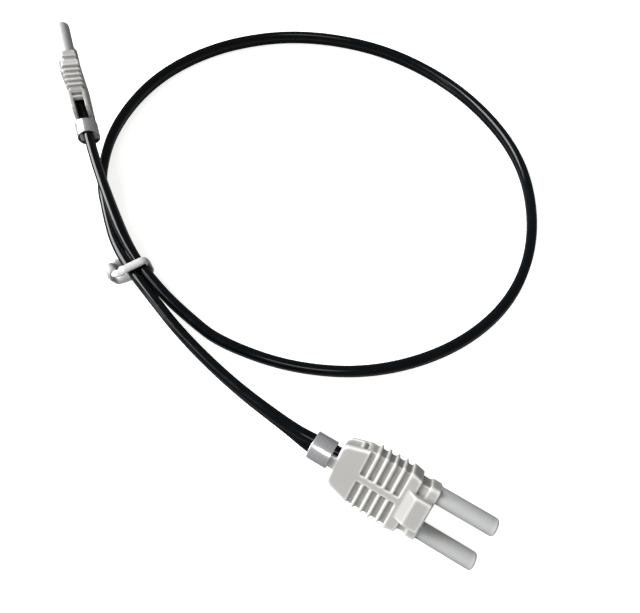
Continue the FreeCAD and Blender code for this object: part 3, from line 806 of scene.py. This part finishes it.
def fibre_tree(fibre):
    """Geometry Nodes: a round rod behind each point, along that point's own axis."""
    tree, sockets, given = new_tree("fibre_ends", (
        ("Diameter", "NodeSocketFloat"), ("Length", "NodeSocketFloat"), ("Core", "NodeSocketMaterial"),
    ))
    half = node(tree, "ShaderNodeMath", {"operation": "MULTIPLY"}, {0: given["Diameter"], 1: 0.5})
    rod = node(tree, "GeometryNodeMeshCylinder", inputs={
        "Vertices": fibre.sides, "Radius": half.outputs[0], "Depth": given["Length"],
    })
    behind = node(tree, "ShaderNodeMath", {"operation": "MULTIPLY"}, {0: given["Length"], 1: -0.5})
    drop = node(tree, "ShaderNodeCombineXYZ", inputs={2: behind.outputs[0]})
    seated = node(tree, "GeometryNodeTransform", inputs={
        "Geometry": rod.outputs[0], "Translation": drop.outputs[0],
    })
    axis = node(tree, "GeometryNodeInputNamedAttribute", {"data_type": "FLOAT_VECTOR"}, {"Name": "axis"})
    turn = node(tree, "FunctionNodeAlignRotationToVector", {"axis": "Z"}, {"Vector": axis.outputs[0]})
    points = node(tree, "GeometryNodeMeshToPoints", inputs={0: given["Geometry"]})
    rods = node(tree, "GeometryNodeInstanceOnPoints", inputs={
        "Points": points.outputs[0], "Instance": seated.outputs[0], "Rotation": turn.outputs[0],
    })
    whole = node(tree, "GeometryNodeRealizeInstances", inputs={0: rods.outputs[0]})
    clear = node(tree, "GeometryNodeSetMaterial", inputs={
        "Geometry": whole.outputs[0], "Material": given["Core"],
    })
    node(tree, "NodeGroupOutput", inputs={0: clear.outputs[0]})
    return tree, sockets


class PATCHCORD_OT_fibres(Operator):
    """Make the polished fibre ends in the four ferrules"""
    bl_idname = "patch_cord.fibres"
    bl_label = "Fibre ends"

    def execute(self, context):
        fibre, plug = settings().fibre, settings().plug
        tips, ways = [], []
        for end in ENDS:
            axes = plug_axes(end)
            for side in (1, -1):
                tips.append(axes @ Vector((plug.tip, plug.ferrule_pitch / 2 * side, 0)))
                ways.extend(axes.col[0].xyz)
        points = bpy.data.meshes.new("fibre_tips")
        points.from_pydata(tips, [], [])
        points.attributes.new("axis", "FLOAT_VECTOR", "POINT").data.foreach_set("vector", ways)
        tree, sockets = fibre_tree(fibre)
        clear = polished_acrylic(fibre)
        mesh = grown_mesh("fibre_rods", points, tree, {
            sockets["Diameter"]: fibre.diameter, sockets["Length"]: fibre.shown, sockets["Core"]: clear,
        })
        mesh.polygons.foreach_set("use_smooth", [True] * len(mesh.polygons))
        mesh.set_sharp_from_angle(angle=SHARP_EDGE)
        piece = new_piece("fibre_ends", mesh, clear)
        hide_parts("fibre_a", "fibre_b")
        return {"FINISHED"}


class PATCHCORD_OT_stage(Operator):
    """Set the floor and backdrop, the soft lights and the camera"""
    bl_idname = "patch_cord.stage"
    bl_label = "Stage"

    def execute(self, context):
        stage = settings().stage
        white = matt_white_sweep(stage)
        self.add_sweep("floor", [(0.0, 0.0), (stage.floor_reach, 0.0)], stage.sides, white)
        turns = [math.radians(90 * step / stage.cove_steps) for step in range(stage.cove_steps + 1)]
        cove = [(stage.floor_reach + stage.cove * math.sin(turn), stage.cove * (1 - math.cos(turn)))
                for turn in turns]
        backdrop = self.add_sweep("backdrop", cove + [(cove[-1][0], stage.wall)], stage.sides, white)
        # The room's light comes in through the backdrop.
        backdrop.visible_shadow = False
        for name, place, size, reflected in LIGHTS:
            lamp = self.add_light(f"{name}_light", place, size, getattr(stage, f"{name}_power"))
            lamp.visible_glossy = reflected
        context.scene.world = self.surroundings(stage)
        context.scene.view_settings.view_transform = "Standard"
        camera = bpy.data.objects.new("camera", bpy.data.cameras.new("camera"))
        camera.data.sensor_fit = "HORIZONTAL"
        camera.data.lens = stage.lens
        camera.data.clip_start = 1 * MM
        camera.location = stage.camera_place
        camera.rotation_euler = (stage.camera_tilt, 0, 0)
        context.scene.collection.objects.link(camera)
        context.scene.camera = camera
        return {"FINISHED"}

    def add_sweep(self, name, profile, sides, white):
        """A round piece of the studio sweep, turned from radii and heights.

        It is seen and takes shadows, but gives the cord neither light nor reflections.
        """
        shell = bmesh.new()
        rings = []
        for radius, height in profile:
            turns = (2 * math.pi * side / sides for side in range(sides))
            circle = [(radius * math.cos(turn), radius * math.sin(turn), height) for turn in turns]
            rings.append([shell.verts.new(place) for place in circle])
        for ring, following in zip(rings, rings[1:]):
            for start in range(sides):
                corner = (start + 1) % sides
                face = shell.faces.new((ring[start], following[start], following[corner], ring[corner]))
                face.smooth = True
        bmesh.ops.remove_doubles(shell, verts=shell.verts, dist=WELD)
        mesh = bpy.data.meshes.new(name)
        shell.to_mesh(mesh)
        shell.free()
        mesh.materials.append(white)
        sweep = bpy.data.objects.new(name, mesh)
        bpy.context.scene.collection.objects.link(sweep)
        sweep.visible_diffuse = False
        sweep.visible_glossy = False
        return sweep

    def surroundings(self, stage):
        """A dim room above and the paler tone of a table below, with a soft change at the horizon."""
        world = bpy.data.worlds.new("studio")
        world.use_nodes = True
        tree = world.node_tree
        tree.nodes.clear()
        way = node(tree, "ShaderNodeTexCoord").outputs["Generated"]
        height = node(tree, "ShaderNodeSeparateXYZ", inputs={0: way}).outputs[2]
        band = 0.15
        strength = node(tree, "ShaderNodeMapRange", inputs={
            "Value": height, "From Min": -band, "From Max": band,
            "To Min": stage.table, "To Max": stage.room,
        })
        light = node(tree, "ShaderNodeBackground", inputs={
            "Color": (1, 1, 1, 1), "Strength": strength.outputs[0],
        })
        node(tree, "ShaderNodeOutputWorld", inputs={"Surface": light.outputs[0]})
        return world

    def add_light(self, name, place, size, power):
        """A rectangular soft light that faces the middle of the cord."""
        light = bpy.data.lights.new(name, "AREA")
        light.shape = "RECTANGLE"
        light.size, light.size_y = size
        light.energy = power
        lamp = bpy.data.objects.new(name, light)
        lamp.location = place
        lamp.rotation_euler = (-Vector(place)).to_track_quat("-Z", "Y").to_euler()
        bpy.context.scene.collection.objects.link(lamp)
        return lamp


class PATCHCORD_PT_panel(Panel):
    """Lists the steps that build the patch cord"""
    bl_idname = "PATCHCORD_PT_panel"
    bl_label = "Patch cord"
    bl_space_type = "VIEW_3D"
    bl_region_type = "UI"
    bl_category = "Patch Cord"

    def draw(self, context):
        for step in STEPS:
            self.layout.operator(step.bl_idname)


STEPS = (
    PATCHCORD_OT_stage, PATCHCORD_OT_cord, PATCHCORD_OT_plugs, PATCHCORD_OT_rings, PATCHCORD_OT_tie,
    PATCHCORD_OT_fibres,
)
CLASSES = (
    CordSettings, PlugSettings, RingSettings, TieSettings, FibreSettings, StageSettings, PatchCordSettings,
    *STEPS, PATCHCORD_PT_panel,
)


def register():
    for item in CLASSES:
        bpy.utils.register_class(item)
    bpy.types.Scene.patch_cord = PointerProperty(type=PatchCordSettings)


def unregister():
    del bpy.types.Scene.patch_cord
    for item in reversed(CLASSES):
        bpy.utils.unregister_class(item)


def declare_cord():
    """Work out the finished cord's middle line from the near plug to the far one."""
    cord = settings().cord
    line, _ = cord_lines(cord)


def main():
    register()
    for step in STEPS:
        group, name = step.bl_idname.split(".")
        getattr(getattr(bpy.ops, group), name)()
    declare_cord()


if __name__ == "__main__":
    main()
